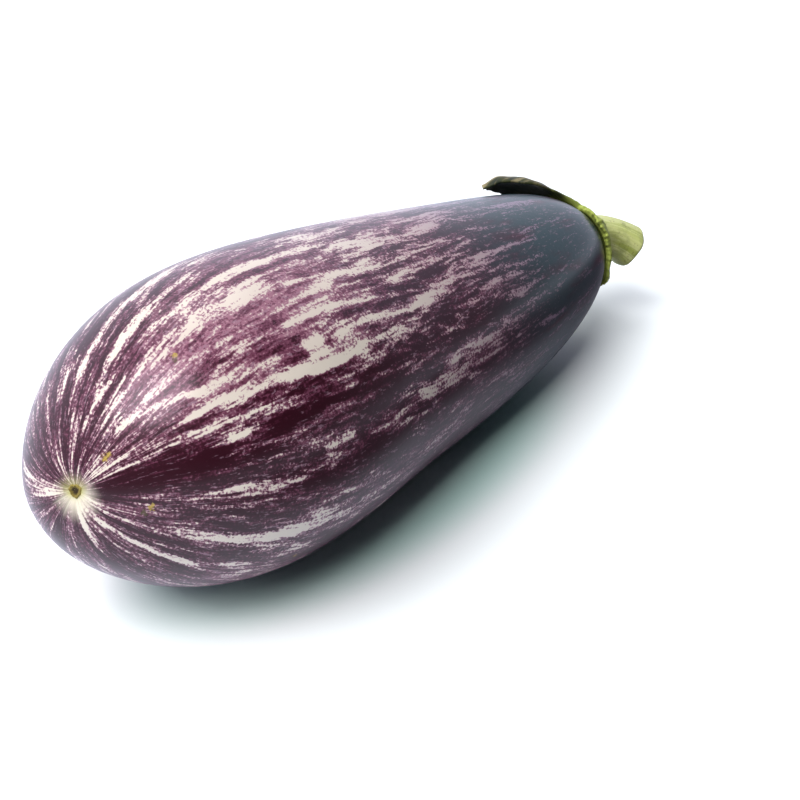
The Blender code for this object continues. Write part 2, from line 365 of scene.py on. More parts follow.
def plainSkin(polar, turn):
    # a unit sphere whose pole is tilted towards the scar, stretched to the length, with a radius of
    # girth * sqrt(1 + taper polynomial) + unevenness * two low waves in Y and Z, along a centre line
    # that leans by s (1 - s^2), where s runs from -1 at the blossom end to 1 at the stem end
    towardsTip = np.cos(polar)
    across = np.sin(polar) * np.cos(turn - fruit["scarTurn"])
    aside = np.sin(polar) * np.sin(turn - fruit["scarTurn"])
    tilt = fruit["scarTilt"] * ((1.0 + np.cos(polar)) / 2.0) ** 2
    tip = towardsTip * np.cos(tilt) - across * np.sin(tilt)
    off = towardsTip * np.sin(tilt) + across * np.cos(tilt)
    y = off * math.cos(fruit["scarTurn"]) - aside * math.sin(fruit["scarTurn"])
    z = off * math.sin(fruit["scarTurn"]) + aside * math.cos(fruit["scarTurn"])
    s = -tip
    swell = np.sqrt(1.0 + sum(factor * s ** (i + 1) for i, factor in enumerate(fruit["taper"])))
    waves = sum(np.sin(a * s + b * y + c * z + phase) for a, b, c, phase in fruit["unevenWaves"])
    uneven = fruit["unevenness"] * waves
    reach = fruit["girth"] * swell + uneven
    lean = s * (1.0 - s * s)
    x = fruit["length"] / 2.0 * s
    y = reach * y + fruit["sway"] * lean
    z = reach * z + fruit["rise"] * lean
    return pitched(np.stack([x, y, z], axis=-1))


# The frame's fruit box says where the formula's own middle lies
probeSteps = 500
probeAngles = np.linspace(0.0, math.pi, probeSteps), np.linspace(0.0, math.tau, probeSteps)
probePolar, probeTurn = np.meshgrid(*probeAngles)
probe = plainSkin(probePolar, probeTurn).reshape(-1, 3)
fruitLow, fruitHigh = (np.array(corner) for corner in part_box("fruit"))
middle = (fruitLow + fruitHigh - probe.min(axis=0) - probe.max(axis=0)) / 2.0
middle[2] = -(probe[:, 2].min() + fruit["flatSpotDepth"])


def skinAt(polar, turn):
    return plainSkin(polar, turn) + middle


def skinNormal(polar, turn):
    step = 1e-4
    along = plainSkin(polar + step, turn) - plainSkin(polar - step, turn)
    around = plainSkin(polar, turn + step) - plainSkin(polar, turn - step)
    return unit(np.cross(around, along))


offPole = 1e-3               # a normal can't be worked out on the pole itself
scarCentre = skinAt(np.float64(0.0), np.float64(0.0))
scarOut = skinNormal(np.float64(offPole), np.float64(0.0))


# Streaks on the skin, as someone would paint them: from and to along the skin from the scar in mm,
# turn at both ends in degrees (90 is up, 180 the front), half width in mm, and how strong
paleStreaks = [
    (40, 84, 86, 92, 1.9, 0.26), (46, 74, 103, 102, 1.1, 0.20), (62, 90, 101, 109, 1.3, 0.17),
    (50, 90, 119, 123, 1.0, 0.20), (68, 75, 133, 133, 3.2, 0.34), (74, 127, 132, 134, 1.5, 0.24),
    (112, 154, 135, 130, 2.3, 0.20), (18, 40, 108, 126, 1.1, 0.22), (37, 62, 126, 131, 1.3, 0.24),
    (33, 78, 134, 142, 1.6, 0.28), (14, 33, 77, 87, 0.8, 0.20), (106, 152, 122, 121, 1.2, 0.18),
    (82, 102, 122, 126, 1.0, 0.20), (90, 113, 111, 110, 1.4, 0.18), (114, 130, 102, 105, 1.0, 0.16),
    (117, 156, 161, 165, 1.7, 0.22), (102, 146, 167, 169, 1.5, 0.20), (79, 114, 171, 176, 1.0, 0.20),
    (64, 74, 171, 168, 1.3, 0.24), (42, 58, 182, 177, 1.0, 0.17), (44, 95, 205, 198, 1.2, 0.20),
    (9, 32, 221, 224, 0.7, 0.20), (30, 68, 224, 211, 0.9, 0.18), (40, 45, 152, 153, 1.3, 0.20),
    (4, 22, 352, 356, 1.5, 0.26), (134, 150, 102, 100, 1.0, 0.14), (100, 124, 82, 85, 1.2, 0.14),
    (22, 36, 47, 56, 0.9, 0.16), (30, 96, 262, 254, 1.6, 0.18), (20, 70, 310, 316, 1.4, 0.20),
    (58, 132, 338, 334, 2.0, 0.22), (44, 118, 14, 20, 1.8, 0.22), (90, 160, 282, 286, 1.7, 0.20),
    (96, 150, 44, 40, 1.6, 0.18), (26, 80, 60, 66, 1.2, 0.18), (110, 158, 228, 222, 1.5, 0.18),
    (95, 205, 84, 88, 4.0, 0.10), (100, 200, 97, 99, 2.2, 0.12), (125, 200, 74, 80, 3.0, 0.14),
    (16, 48, 92, 96, 1.6, 0.14), (20, 46, 106, 108, 1.4, 0.12), (22, 50, 76, 78, 1.5, 0.12),
    (36, 70, 64, 68, 2.0, 0.12), (38, 66, 76, 80, 1.6, 0.10), (60, 92, 112, 114, 2.0, 0.12),
    (64, 94, 98, 100, 1.6, 0.10), (7, 30, 131, 140, 1.1, 0.16), (6, 24, 118, 122, 0.9, 0.12),
    (3, 12, 222, 226, 1.0, 0.18), (3, 11, 246, 250, 1.0, 0.18), (3, 10, 200, 204, 0.8, 0.14),
    (27, 60, 205, 201, 1.2, 0.18), (58, 90, 186, 182, 1.2, 0.14), (96, 150, 113, 112, 1.9, 0.15),
    (100, 150, 103, 102, 1.6, 0.14), (88, 140, 93, 95, 1.8, 0.12), (58, 88, 140, 143, 1.5, 0.15),
    (34, 74, 97, 100, 1.5, 0.13), (50, 84, 115, 119, 1.3, 0.12),
]
# Most dark bands are the pigment's own; the three that start at 70, 88 and 60 mm, at turns near 180, 152
# and 206, are painted shade on the lower front towards the stem
darkBandsAndShade = [
    (84, 106, 127, 130, 1.7, 0.28), (7, 38, 166, 157, 2.6, 0.24), (52, 100, 154, 158, 3.4, 0.13),
    (60, 88, 179, 175, 2.6, 0.12), (30, 56, 160, 158, 3.0, 0.16), (88, 150, 151, 154, 2.6, 0.10),
    (120, 160, 112, 112, 1.6, 0.08), (70, 150, 178, 182, 6.0, 0.12), (60, 130, 206, 206, 5.0, 0.06),
    (40, 110, 240, 236, 3.5, 0.08), (60, 140, 0, 2, 3.5, 0.09), (50, 120, 300, 300, 4.0, 0.08),
]


def streakField(arc, turn, radius, streaks):
    # each streak is a bell across, held along its length and faded over its ends, and they add up
    field = np.zeros_like(arc)
    for start, end, startTurn, endTurn, halfWidth, strength in streaks:
        along = (arc / mm - start) / (end - start)
        line = np.radians(startTurn + np.clip(along, 0.0, 1.0) * (endTurn - startTurn))
        across = turnFrom(line, turn) * radius / mm
        held = smooth(*fruit["streakStart"], along) * (1.0 - smooth(*fruit["streakEnd"], along))
        field += strength * bell(across, halfWidth) * held
    return field


def makeSkin():
    # the plain skin, folded round the scar, with low waves, drawn into a pit at the scar, and level
    # where it rests: point = skin + normal * (waves + folds) - scar's outward direction * pit
    steps = np.arange(1, fruit["rings"] + 1) / (fruit["rings"] + 1)
    rounds = math.tau * np.arange(fruit["sides"]) / fruit["sides"]
    polar, turn = np.meshgrid(math.pi * steps ** fruit["ringPacing"], rounds, indexing="ij")
    points, normal = skinAt(polar, turn), skinNormal(polar, turn)
    first, last = scarCentre, skinAt(np.float64(math.pi), np.float64(0.0))
    fromScar = np.concatenate([np.broadcast_to(first, (1, fruit["sides"], 3)), points])
    arc = np.cumsum(np.linalg.norm(np.diff(fromScar, axis=0), axis=-1), axis=0)
    away = np.linalg.norm(points - scarCentre, axis=-1)
    waves = fruit["waviness"] * ripple(arc, turn, *fruit["waves"]) * smooth(*fruit["wavesFrom"], arc)
    folds = np.abs(np.sin(fruit["wrinkles"] / 2.0 * (turn + waveSum(turn, fruit["wrinkleSway"]))))
    folds = fruit["wrinkleDepth"] * folds * bell(away, fruit["wrinkleReach"])
    folds = folds * smooth(*fruit["wrinklesFrom"], away)
    pit = fruit["pitDepth"] * bell(away, fruit["pitRadius"])
    points = points + (waves + folds)[..., None] * normal - pit[..., None] * scarOut
    points[..., 2] = np.maximum(points[..., 2], 0.0)
    piece = closedSurface("fruit_skin", points, first - fruit["pitDepth"] * scarOut, last)
    sideLengths = np.linalg.norm(np.roll(points, -1, axis=1) - points, axis=-1)
    ringRadius = sideLengths.sum(axis=1)[:, None] / math.tau
    wide = fruit["patternRadius"]
    streakPlace = np.stack([wide * np.cos(turn), wide * np.sin(turn), arc], axis=-1)
    endPlace = np.array([0.0, 0.0, arc[-1].mean()])
    keepValues(piece, "streakPlace", withPoles(streakPlace, np.zeros(3), endPlace))
    pale = streakField(arc, turn, ringRadius, paleStreaks)
    # pale streaks less dark bands, some of the dark ones painted shade
    dark = streakField(arc, turn, ringRadius, darkBandsAndShade)
    keepValues(piece, "streakAndShadeStrength", withPoles(pale - dark, 0.0, 0.0))
    blush = np.zeros_like(arc)
    for blushTurn, halfWidth, strength, start, end in fruit["blushes"]:
        across = bell(turnFrom(math.radians(blushTurn), turn), halfWidth)
        blush += strength * across * smooth(*start, arc) * (1.0 - smooth(*end, arc))
    keepValues(piece, "blush", withPoles(blush, 0.0, 0.0))
    return piece


skinLooks = {
    "deepWine": (0.024, 0.0028, 0.0070),
    "wine": (0.046, 0.0085, 0.018),
    "magenta": (0.120, 0.034, 0.060),
    "rose": (0.35, 0.205, 0.235),
    "blushRose": (0.26, 0.110, 0.152),
    "cream": (0.64, 0.585, 0.485),
    # cream darkened as painted shade, for the less lit half towards the stem
    "creamInPaintedShade": (0.40, 0.31, 0.295),
    "teal": (0.012, 0.036, 0.039),
    "stemLilac": (0.18, 0.130, 0.175),
    "scarRing": (0.66, 0.61, 0.47),
    "scarGreen": (0.45, 0.43, 0.17),
    "ochre": (0.40, 0.29, 0.045),
    "olive": (0.058, 0.047, 0.014),
    "speck": (0.25, 0.155, 0.195),
    # noise in the streaks: width, length over width, share in the pattern, and share at the scar
    "broad": (0.0054, 6.5, 1.05, 1.25),
    "narrow": (0.0020, 6.0, 1.05, 0.65),
    "thin": (0.0009, 6.0, 0.60, 0.30),
    "grains": (0.0007, 1.0, 0.85, 0.70),
    "streakDetail": (2.0, 0.55),         # detail and roughness of that noise
    "nearScar": (0.006, 0.035),          # metres along the skin, here and in the next three fades
    "scarPaleness": (0.006, 0.030, 0.05, 0.0),
    "stemwards": (0.130, 0.190),
    # where the cream turns to its painted shade
    "creamPaintedShadeFades": (0.085, 0.150),
    "painted": 1.34,                     # strength of the painted streaks against the noise
    "stemDarker": -0.12,
    "wander": {"Size": 0.016, "Reach": 0.0042},
    "stain": (0.010, 3.0, 3.0, 0.55),
    "stainShare": 0.35,
    "mottle": (0.0013, 2.0, 3.0, 0.65),
    "mottleShare": 0.58,
    "blushShare": 0.28,
    "blushOnCream": 0.28,
    # from where each colour takes over, counted from paleFrom on the scale of bareness
    "paleFrom": 0.185,
    "wineOver": (-0.36, -0.18),
    "magentaOver": (-0.20, -0.05),
    "blushOver": (0.02, 0.16),
    "roseOver": (-0.07, 0.01),
    "creamOver": (0.01, 0.11),
    "tealPatches": (0.28, 0.48),
    "specks": (0.0009, 3.0, 3.0, 0.65),
    "speckBareness": 0.25,
    "speckFades": (0.54, 0.66, 0.0, 0.6),
    "ringLean": (-0.014, -0.038, 0.0),   # the pale ring reaches further on this side
    "rays": (0.0085, 10.0, 4.0, 0.75),
    "rayLength": 0.0064,
    "ringInset": -0.0004,
    "ringFades": (-0.0030, 0.0046, 1.0, 0.0),
    "greenLean": -0.9,                   # the green inside it leans the other way
    "greenRadius": 0.0030,
    "greenFades": (-0.0012, 0.0016),
    "fleckStrength": 0.85,
    "roughness": 0.25,
    "stainRoughness": 0.12,
    "specular": 0.32,
    "coat": (0.12, 0.15),                # weight and roughness
    "pores": (0.0016, 1.0, 2.0, 0.5),
    "poreDepth": 0.00003,
}

# Blemishes: place along the skin from the scar in mm, turn in degrees, radius in mm, colour
flecks = [
    (12.0, 119, 1.1, "ochre"), (13.3, 119, 0.9, "ochre"), (19.2, 187, 1.2, "ochre"),
    (17.9, 193, 1.2, "olive"), (40.9, 104, 1.0, "ochre"), (40.2, 106, 0.9, "olive"),
    (64.3, 219, 0.8, "ochre"), (14.3, 286, 0.4, "olive"), (92.0, 300, 0.6, "ochre"),
    (70.0, 20, 0.7, "ochre"),
]


def polarAtArc(arc, turn):
    # the polar angle whose distance along the skin from the scar is arc
    farthest, steps = 2.6, 2000
    fine = np.linspace(0.0, farthest, steps)
    return np.interp(arc, walkedAlong(plainSkin(fine, np.full_like(fine, turn))), fine)


def skinMaterial():
    look = skinLooks
    material, tree, shader = newMaterial("eggplant_skin", look["specular"], *look["coat"])
    place = objectPlace(tree)
    streak = readAttribute(tree, "streakPlace", "Vector")
    arc = partsOf(tree, streak)[2]
    along = useGroup(tree, wanderGroup, "Place", Place=streak, **look["wander"])

    def aroundZero(noise):
        return calc(tree, "SUBTRACT", noise, noiseMiddle)

    def takesOver(value, name):
        # how far the named colour has taken over at a value of bareness
        low, high = look[name]
        return fade(tree, value, look["paleFrom"] + low, look["paleFrom"] + high)

    # how little pigment there is: painted streaks, some of them painted shade, plus noise of four sizes,
    # finer round the scar
    bare = calc(tree, "MULTIPLY", readAttribute(tree, "streakAndShadeStrength", "Fac"), look["painted"])
    for name in ("broad", "narrow", "thin", "grains"):
        width, stretch, share, scarShare = look[name]
        noise = grain(tree, place if name == "grains" else along, width, stretch, *look["streakDetail"])
        weight = fade(tree, arc, *look["nearScar"], scarShare, share)
        bare = calc(tree, "MULTIPLY_ADD", aroundZero(noise), weight, bare)
    bare = calc(tree, "ADD", bare, fade(tree, arc, *look["scarPaleness"]))
    stemwards = fade(tree, arc, *look["stemwards"])
    bare = calc(tree, "MULTIPLY_ADD", stemwards, look["stemDarker"], bare)
    # the pigment from near black to rose, mottled, and lighter where the skin blushes
    blush = readAttribute(tree, "blush", "Fac")
    stain = grain(tree, along, *look["stain"])
    mottle = grain(tree, along, *look["mottle"])
    tone = calc(tree, "MULTIPLY_ADD", aroundZero(stain), look["stainShare"], bare)
    tone = calc(tree, "MULTIPLY_ADD", aroundZero(mottle), look["mottleShare"], tone)
    tone = calc(tree, "MULTIPLY_ADD", blush, look["blushShare"], tone)
    colour = mixed(tree, takesOver(tone, "wineOver"), look["deepWine"], look["wine"])
    colour = mixed(tree, takesOver(tone, "magentaOver"), colour, look["magenta"])
    colour = mixed(tree, takesOver(tone, "blushOver"), colour, look["blushRose"])
    tealShare = calc(tree, "MULTIPLY", stemwards, fade(tree, stain, *look["tealPatches"]))
    colour = mixed(tree, tealShare, colour, look["teal"])
    # fine lilac specks, fewer where the pigment is dense
    speck = calc(tree, "MULTIPLY_ADD", bare, look["speckBareness"], grain(tree, along, *look["specks"]))
    colour = mixed(tree, fade(tree, speck, *look["speckFades"]), colour, look["speck"])
    # bare skin: rose at the edges of a streak and cream inside it; the cream is darkened from mid length on
    # as painted shade, and both turn lilac towards the stem
    cream = mixed(tree, fade(tree, arc, *look["creamPaintedShadeFades"]), look["cream"], look["creamInPaintedShade"])
    cream = mixed(tree, calc(tree, "MULTIPLY", blush, look["blushOnCream"]), cream, look["rose"])
    cream = mixed(tree, stemwards, cream, look["stemLilac"])
    rose = mixed(tree, stemwards, look["rose"], look["stemLilac"])
    colour = mixed(tree, takesOver(bare, "roseOver"), colour, rose)
    colour = mixed(tree, takesOver(bare, "creamOver"), colour, cream)
    # the pale ring round the scar, with soft rays at its edge and green inside
    ray = grain(tree, streak, *look["rays"])
    lean = vectorCalc(tree, "DOT_PRODUCT", streak, look["ringLean"], 1)
    ringEdge = calc(tree, "ADD", lean, look["ringInset"])
    ringEdge = calc(tree, "MULTIPLY_ADD", ray, look["rayLength"], ringEdge)
    ring = fade(tree, calc(tree, "SUBTRACT", arc, ringEdge), *look["ringFades"])
    greenEdge = calc(tree, "MULTIPLY_ADD", lean, look["greenLean"], look["greenRadius"])
    pastGreen = fade(tree, calc(tree, "SUBTRACT", arc, greenEdge), *look["greenFades"])
    colour = mixed(tree, ring, colour, mixed(tree, pastGreen, look["scarGreen"], look["scarRing"]))
    for arcPlace, turn, radius, name in flecks:
        angle = math.radians(turn)
        spot = skinAt(polarAtArc(arcPlace * mm, angle), np.float64(angle))
        mask = useGroup(tree, fleckGroup, "Mask", Place=place, Centre=tuple(spot), Radius=radius * mm)
        colour = mixed(tree, calc(tree, "MULTIPLY", mask, look["fleckStrength"]), colour, look[name])
    rough = calc(tree, "MULTIPLY_ADD", stain, look["stainRoughness"], look["roughness"])
    finishMaterial(tree, shader, colour, rough)
    bump(tree, shader, grain(tree, place, *look["pores"]), look["poreDepth"])
    return material


skinPiece = makeSkin()
skinPiece.data.materials.append(skinMaterial())
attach(skinPiece, "root")
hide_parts("fruit")
print("skin:", len(skinPiece.data.polygons), "faces")


# Blossom scar: a corky button with a raised ragged rim and a sunken dark middle

scar = {
    "radius": 0.0018,
    "outlineWaves": ((0.09, 3.0, 0.5), (0.05, 7.0, 2.0), (0.03, 13.0, 0.0)),
    "rimHeight": 0.00035,
    "rimPlace": 0.78,            # shares of the radius, here and for the bowl
    "rimWidth": 0.16,
    "rimWaves": ((0.3, 9.0, 1.0),),
    "bowlDepth": 0.5,            # in rim heights
    "bowlWidth": 0.5,
    "crumbHeight": 0.00012,
    "crumbs": (3, 6000.0),
    "stands": 0.00022,
    "sunk": 0.0006,
    "footShare": 0.8,
    "rings": 26,
    "sides": 96,
    "cork": (0.20, 0.150, 0.034),
    "dark": (0.031, 0.020, 0.006),
    "ochre": (0.28, 0.225, 0.058),
    "crumbGrain": (0.0006, 1.0, 4.0, 0.7),
    "raggedness": 0.5,
    "darkFades": (0.55, 0.95),
    "ochreFades": (0.95, 1.15),
    "specular": 0.3,
    "roughness": 0.75,
}


def makeScar():
    # height over the skin: the pit, plus how far it stands, plus a waved rim as a bell at rimPlace,
    # less a bowl in the middle, plus crumbs * (1 - share^4), less sunk * share^8 at the edge.
    # The outline is uneven, and the underside is a flat foot sunk below the pit.
    side = unit(np.cross(scarOut, zAxis))
    up = np.cross(side, scarOut)
    share = np.linspace(0.0, 1.0, scar["rings"] + 1)[1:, None]
    around = math.tau * np.arange(scar["sides"])[None, :] / scar["sides"]
    radius = scar["radius"] * share * (1.0 + waveSum(around, scar["outlineWaves"]))
    rim = bell(share - scar["rimPlace"], scar["rimWidth"]) * (1.0 + waveSum(around, scar["rimWaves"]))
    bowl = -scar["bowlDepth"] * bell(share, scar["bowlWidth"])
    crumbs = ripple(radius * np.cos(around), radius * np.sin(around), *scar["crumbs"]) * (1.0 - share**4)
    base = scar["stands"] - fruit["pitDepth"] * bell(radius, fruit["pitRadius"])
    top = base + scar["rimHeight"] * (rim + bowl) + scar["crumbHeight"] * crumbs - scar["sunk"] * share**8
    under = np.broadcast_to(-fruit["pitDepth"] - scar["sunk"], top.shape)
    flat = np.cos(around)[..., None] * side + np.sin(around)[..., None] * up
    upper = scarCentre + radius[..., None] * flat + top[..., None] * scarOut
    lower = scarCentre + scar["footShare"] * radius[..., None] * flat + under[..., None] * scarOut
    grid = np.concatenate([upper, lower[::-1]])
    first = scarCentre + float(top[0].mean()) * scarOut
    last = scarCentre + float(under[0, 0]) * scarOut
    piece = closedSurface("blossom_scar", grid, first, last)
    rimShare = np.concatenate([np.broadcast_to(share, top.shape), np.ones(top.shape)])
    keepValues(piece, "outwards", withPoles(rimShare, 0.0, 1.0))
    return piece


def scarMaterial():
    material, tree, shader = newMaterial("scar_cork", scar["specular"])
    crumbs = grain(tree, objectPlace(tree), *scar["crumbGrain"])
    ragged = calc(tree, "MULTIPLY_ADD", crumbs, scar["raggedness"], readAttribute(tree, "outwards", "Fac"))
    colour = mixed(tree, fade(tree, ragged, *scar["darkFades"]), scar["dark"], scar["cork"])
    colour = mixed(tree, fade(tree, ragged, *scar["ochreFades"]), colour, scar["ochre"])
    finishMaterial(tree, shader, colour, scar["roughness"])
    bump(tree, shader, crumbs, scar["crumbHeight"])
    return material


scarPiece = makeScar()
scarPiece.data.materials.append(scarMaterial())
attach(scarPiece, "root")
print("blossom scar made")


# Calyx: a fleshy cup with a collar and five pointed lobes that lie on the shoulder

calyx = {
    "lobes": ((58.0, 0.0450, 0.0042), (130.0, 0.0185, 0.0004), (202.0, 0.0180, 0.0004),
              (274.0, 0.0260, 0.0010), (346.0, 0.0370, 0.0026)),   # turn, reach, hump height
    "humpRise": (0.10, 0.58),
    "humpFall": (0.76, 1.0),
    "tipDrop": 0.55,
    "edgeDrop": 0.5,
    "crowding": 1.5,
    "taper": 1.12,
    "notchRadius": 0.0145,
    "bladeThickness": 0.0012,
    "cupThickness": 0.0022,
    "thinsFrom": 0.3,
    "edgeThinning": 0.4,
    "edgeLift": 0.0005,
    "waveHeight": 0.0006,
    "waves": 13,
    "edgeWaves": ((0.012, 37.0, 0.0), (0.010, 61.0, 1.0)),
    "gap": 0.0006,
    "collarRadius": 0.0076,
    "collarFoot": 0.0130,
    "collarHeight": 0.0028,
    "cupFrom": 0.04,             # share of the cup's reach at its first ring
    "cupReach": 0.0130,
    "pointsPerLobe": 96,
    "cupRings": 18,
    "lobeRings": 56,
    "ribHeight": 0.0005,
    "ribWidth": 0.0011,
    "ribFrom": (0.004, 0.012),
    "veinHeight": 0.00010,
    "veinPaces": (900.0, 6.0),   # along the lobe and aside
    "veinsFrom": (0.1, 0.4),
    "creaseHeight": 0.00014,
    "creases": (5, 2600.0, 0.012, 0.15),
    "creasesFrom": (0.008, 0.014),
    "patternRadius": 0.016,
    "leaf": (0.042, 0.046, 0.012),
    # dark leaf tone for the patches, also the painted shade of the underside
    "leafDarkAndShade": (0.012, 0.017, 0.008),
    "fresh": (0.33, 0.39, 0.075),
    "dry": (0.47, 0.39, 0.21),
    "bruise": (0.047, 0.024, 0.022),
    "fibres": (0.0009, 12.0, 3.0, 0.6),
    "patches": (0.0055, 1.0, 3.0, 0.6),
    "pores": (0.0005, 1.0, 2.0, 0.6),
    "patchFades": (0.38, 0.62),
    "fibreFades": (0.5, 0.68, 0.0, 0.4),
    "bruiseFades": (0.56, 0.66, 0.0, 0.45),
    "stripeWidth": 0.0009,       # the rib's paler stripe
    "stripeFrom": (0.006, 0.014),
    "stripeStrength": 0.5,
    "stripeDries": (0.022, 0.030),
    "dryRaggedness": 0.5,        # how far the fibres and the patches each carry the dry colour
    "dryFades": (0.62, 0.90),
    "dryFrom": (0.020, 0.026),
    "dryEnds": (0.035, 0.042, 1.0, 0.2),
    "freshRaggedness": 0.008,
    "freshEnds": (0.0200, 0.0270, 1.0, 0.0),
    # painted shade on the underside, by reach
    "underPaintedShade": (0.017, 0.024, 0.0, 0.7),
    "roughness": 0.42,
    "patchRoughness": 0.3,
    "specular": 0.28,
    "poreShare": 0.35,
    "reliefDepth": 0.00016,
    "leastHalfWidth": 1e-3,      # of a lobe, as a share, at its very tip
}


def polarAtReach(reach):
    # the polar angle whose distance along the skin from the stem pole is reach
    farthest, steps = 1.4, 1500
    fine = np.linspace(0.0, farthest, steps)
    walked = walkedAlong(plainSkin(math.pi - fine, np.full_like(fine, math.pi / 2.0)))
    return math.pi - np.interp(reach, walked, fine)


stemPole = skinAt(np.float64(math.pi), np.float64(0.0))
stemAxis = pitched(np.array([1.0, 0.0, 0.0]))


def collarTop():
    # height of the collar's flat top along the axis, from the stem pole
    polar = polarAtReach(calyx["collarRadius"])
    rim = skinAt(polar, np.float64(0.0)) + calyx["cupThickness"] * skinNormal(polar, np.float64(0.0))
    return float((rim - stemPole) @ stemAxis) + calyx["gap"] + calyx["collarHeight"]


def lobeOutline():
    # round each lobe, with across from -1 to 1 and off = |across|^crowding: turn = angle +- off * half
    # a lobe's share of the circle, and reach = notch + (lobe - notch) * (1 - off)^taper
    across = 2.0 * np.arange(calyx["pointsPerLobe"]) / calyx["pointsPerLobe"] - 1.0
    off = np.abs(across) ** calyx["crowding"]
    angle, lobeReach, hump = (np.array(column)[:, None] for column in zip(*calyx["lobes"]))
    half = math.pi / len(calyx["lobes"])
    turn = np.radians(angle) + np.sign(across) * off * half
    notch = calyx["notchRadius"]
    reach = notch + (lobeReach - notch) * (1.0 - off) ** calyx["taper"]
    rows = np.broadcast_arrays(turn, reach, hump, lobeReach, off)
    return [row.ravel() for row in rows]


def humpHeight(reach, hump, lobeReach, off):
    # hump * rise along the lobe, with the tip let down again, * (1 - edgeDrop * aside^2)
    along = np.clip((reach - calyx["notchRadius"]) / (lobeReach - calyx["notchRadius"]), 0.0, 1.0)
    lobeHalf = np.maximum(1.0 - along ** (1.0 / calyx["taper"]), calyx["leastHalfWidth"])
    aside = np.clip(off / lobeHalf, 0.0, 1.0)
    rise = smooth(*calyx["humpRise"], along) * (1.0 - calyx["tipDrop"] * smooth(*calyx["humpFall"], along))
    return hump * rise * (1.0 - calyx["edgeDrop"] * aside**2)


def makeCalyx():
    # rings from the pole to the edge on the underside, and back on the top. Height over the skin is
    # gap + hump + (edge lift + waves) * toEdge^4, and the top adds the thickness, ribs, veins and
    # creases, and over the cup a collar with a flat top.
    turn, edge, hump, lobeReach, off = lobeOutline()
    edge = edge * (1.0 + waveSum(turn, calyx["edgeWaves"]))
    cupShare = np.linspace(calyx["cupFrom"], 1.0, calyx["cupRings"])[:, None]
    cup = cupShare * calyx["cupReach"] * np.ones_like(turn)
    out = (np.arange(1, calyx["lobeRings"] + 1) / calyx["lobeRings"])[:, None]
    blade = calyx["cupReach"] + (edge - calyx["cupReach"]) * out
    reach = np.concatenate([cup, blade])
    toEdge = np.concatenate([np.zeros_like(cup), np.broadcast_to(out, blade.shape)])
    wave = calyx["waveHeight"] * (1.0 + np.sin(calyx["waves"] * turn)) / 2.0
    lift = (calyx["edgeLift"] + wave) * toEdge**4
    under = calyx["gap"] + humpHeight(reach, hump, lobeReach, off) + lift
    fleshy = 1.0 - smooth(calyx["thinsFrom"], 1.0, toEdge)
    thick = calyx["bladeThickness"] + (calyx["cupThickness"] - calyx["bladeThickness"]) * fleshy
    thick = thick * (1.0 - calyx["edgeThinning"] * toEdge**6)
    polar = polarAtReach(reach)
    wideTurn = np.broadcast_to(turn, reach.shape)
    normal = skinNormal(polar, wideTurn)
    lower = skinAt(polar, wideTurn) + under[..., None] * normal
    lobeSide = off * math.pi / len(calyx["lobes"]) * reach
    rib = calyx["ribHeight"] * bell(lobeSide, calyx["ribWidth"]) * smooth(*calyx["ribFrom"], reach)
    rib = rib * (1.0 - toEdge**3)
    vein = np.sin(calyx["veinPaces"][0] * reach - calyx["veinPaces"][1] * off)
    veins = calyx["veinHeight"] * vein * smooth(*calyx["veinsFrom"], toEdge) * (1.0 - toEdge**4)
    crease = ripple(wideTurn, reach, *calyx["creases"])
    creases = calyx["creaseHeight"] * crease * smooth(*calyx["creasesFrom"], reach)
    upper = lower + (thick + rib + veins + creases)[..., None] * normal
    collar = calyx["collarHeight"] * (1.0 - smooth(calyx["collarRadius"], calyx["collarFoot"], reach))
    upper = upper + collar[..., None] * stemAxis
    flat = collarTop() - (upper - stemPole) @ stemAxis
    inside = (reach <= calyx["collarRadius"])[..., None]
    upper = np.where(inside, upper + flat[..., None] * stemAxis, upper)
    grid = np.concatenate([lower, upper[::-1]])
    first, last = (stemPole + height * stemAxis for height in (calyx["gap"], collarTop()))
    piece = closedSurface("calyx_leaf", grid, first, last)
    wide = calyx["patternRadius"]
    leafPlace = np.stack([wide * np.cos(wideTurn), wide * np.sin(wideTurn), reach], axis=-1)
    leafPlace = np.concatenate([leafPlace, leafPlace[::-1]])
    keepValues(piece, "leafPlace", withPoles(leafPlace, np.zeros(3), np.zeros(3)))
    # the rib's stripe on the top side, and whether a point is on the top side
    stripe = bell(lobeSide, calyx["stripeWidth"]) * smooth(*calyx["stripeFrom"], reach)
    stripe = np.concatenate([np.zeros_like(reach), stripe[::-1]])
    onTop = np.concatenate([np.zeros_like(reach), np.ones_like(reach)])
    keepValues(piece, "ribStripe", withPoles(stripe, 0.0, 0.0))
    keepValues(piece, "onTop", withPoles(onTop, 0.0, 1.0))
    return piece


